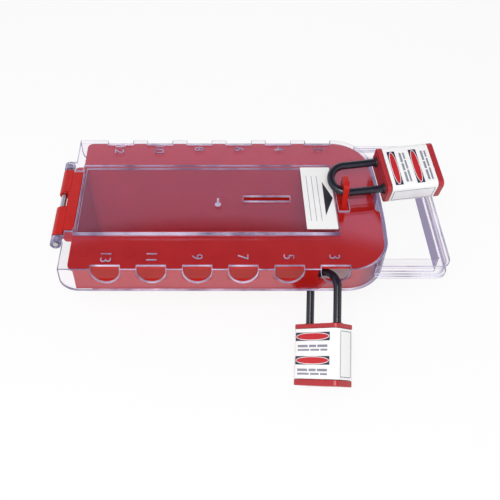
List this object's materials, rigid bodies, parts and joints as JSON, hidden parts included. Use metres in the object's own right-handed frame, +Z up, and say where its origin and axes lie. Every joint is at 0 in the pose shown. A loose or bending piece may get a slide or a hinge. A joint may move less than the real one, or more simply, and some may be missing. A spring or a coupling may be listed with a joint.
{
  "type": "group lockout box",
  "caption": "Portable box that holds keys during shared isolation work: a tray with a hinged clear cover and handle, a key slot, a lock eye and rows of shackle holes with two keyed padlocks.",
  "frame": {"origin": "Underside of the tray's floor, on the box's centre line, midway along the two rows of shackle holes.", "axes": "+X from the hinge toward the handle, along the rows of holes; +Y toward the rear row; +Z up, out of the cover."},
  "size_m": [0.3232, 0.2327, 0.1097],
  "materials": {
    "red_plastic": "smooth moulded red plastic, glossy",
    "clear_plastic": "clear polycarbonate, polished",
    "crimson_plastic": "satin crimson thermoplastic",
    "label_vinyl": "white vinyl film",
    "black_plastic": "black nylon",
    "black_coating": "hardened steel, black coated",
    "bright_steel": "drawn steel rod",
    "lock_steel": "turned steel",
    "spring_steel": "drawn spring wire",
    "brass": "turned brass"
  },
  "bodies": {
    "tray": {"tray_trough": "red_plastic", "tray_flange": "red_plastic", "tray_front_skirt": "red_plastic", "tray_rear_skirt": "red_plastic", "hinge_flap": "red_plastic", "lock_eye": "red_plastic", "hinge_pin": "bright_steel"},
    "cover": {"cover_top": "clear_plastic", "cover_front_skirt": "clear_plastic", "cover_rear_skirt": "clear_plastic", "cover_end_skirt": "clear_plastic", "carry_handle": "clear_plastic", "position_label": "label_vinyl"},
    "padlock_1_shackle": {"padlock_1_shackle": "black_coating"},
    "padlock_1_case": {"padlock_1_body": "crimson_plastic", "padlock_1_bottom_cap": "crimson_plastic", "padlock_1_cylinder": "brass", "padlock_1_driver_pin_1": "lock_steel", "padlock_1_driver_pin_2": "lock_steel", "padlock_1_driver_pin_3": "lock_steel", "padlock_1_driver_pin_4": "lock_steel", "padlock_1_driver_pin_5": "lock_steel", "padlock_1_heel_ball": "lock_steel", "padlock_1_heel_guide": "black_plastic", "padlock_1_label_wrap": "label_vinyl", "padlock_1_shackle_spring": "spring_steel", "padlock_1_toe_ball": "lock_steel", "padlock_1_toe_guide": "black_plastic", "padlock_1_top_cap": "crimson_plastic"},
    "padlock_1_plug": {"padlock_1_cam": "lock_steel", "padlock_1_key_plug": "brass", "padlock_1_key_pin_1": "brass", "padlock_1_key_pin_2": "brass", "padlock_1_key_pin_3": "brass", "padlock_1_key_pin_4": "brass", "padlock_1_key_pin_5": "brass"},
    "padlock_2_shackle": {"padlock_2_shackle": "black_coating"},
    "padlock_2_case": {"padlock_2_body": "crimson_plastic", "padlock_2_bottom_cap": "crimson_plastic", "padlock_2_cylinder": "brass", "padlock_2_driver_pin_1": "lock_steel", "padlock_2_driver_pin_2": "lock_steel", "padlock_2_driver_pin_3": "lock_steel", "padlock_2_driver_pin_4": "lock_steel", "padlock_2_driver_pin_5": "lock_steel", "padlock_2_heel_ball": "lock_steel", "padlock_2_heel_guide": "black_plastic", "padlock_2_label_wrap": "label_vinyl", "padlock_2_shackle_spring": "spring_steel", "padlock_2_toe_ball": "lock_steel", "padlock_2_toe_guide": "black_plastic", "padlock_2_top_cap": "crimson_plastic"},
    "padlock_2_plug": {"padlock_2_cam": "lock_steel", "padlock_2_key_plug": "brass", "padlock_2_key_pin_1": "brass", "padlock_2_key_pin_2": "brass", "padlock_2_key_pin_3": "brass", "padlock_2_key_pin_4": "brass", "padlock_2_key_pin_5": "brass"}
  },
  "joints": [
    {"name": "cover_hinge", "type": "hinge", "parent": "tray", "child": "cover", "pos_m": [-0.133, 0, 0.0755], "axis": [0, -1, 0], "range_deg": [0, 180]},
    {"name": "padlock_1_swing", "type": "hinge", "parent": "tray", "child": "padlock_1_shackle", "pos_m": [0.104, -0.001, 0.0898], "axis": [0.9908, 0.134, 0.0192], "range_deg": [0, 150]},
    {"name": "padlock_1_release", "type": "slide", "parent": "padlock_1_shackle", "child": "padlock_1_case", "axis": [0.9908, 0.134, 0.0192], "range_m": [0, 0.008]},
    {"name": "padlock_1_key_turn", "type": "hinge", "parent": "padlock_1_case", "child": "padlock_1_plug", "pos_m": [0.13539, 0.01513, 0.09363], "axis": [-0.9908, -0.134, -0.0192], "range_deg": [0, 90]},
    {"name": "padlock_2_swing", "type": "hinge", "parent": "tray", "child": "padlock_2_shackle", "pos_m": [0.0835, -0.076, 0.056], "axis": [-0.9397, -0.342, 0], "range_deg": [0, 65]},
    {"name": "padlock_2_release", "type": "slide", "parent": "padlock_2_shackle", "child": "padlock_2_case", "axis": [-0.0483, -0.8638, -0.5015], "range_m": [0, 0.008]},
    {"name": "padlock_2_key_turn", "type": "hinge", "parent": "padlock_2_case", "child": "padlock_2_plug", "pos_m": [0.08142, -0.103, 0.04256], "axis": [0.0483, 0.8638, 0.5015], "range_deg": [0, 90]}
  ]
}
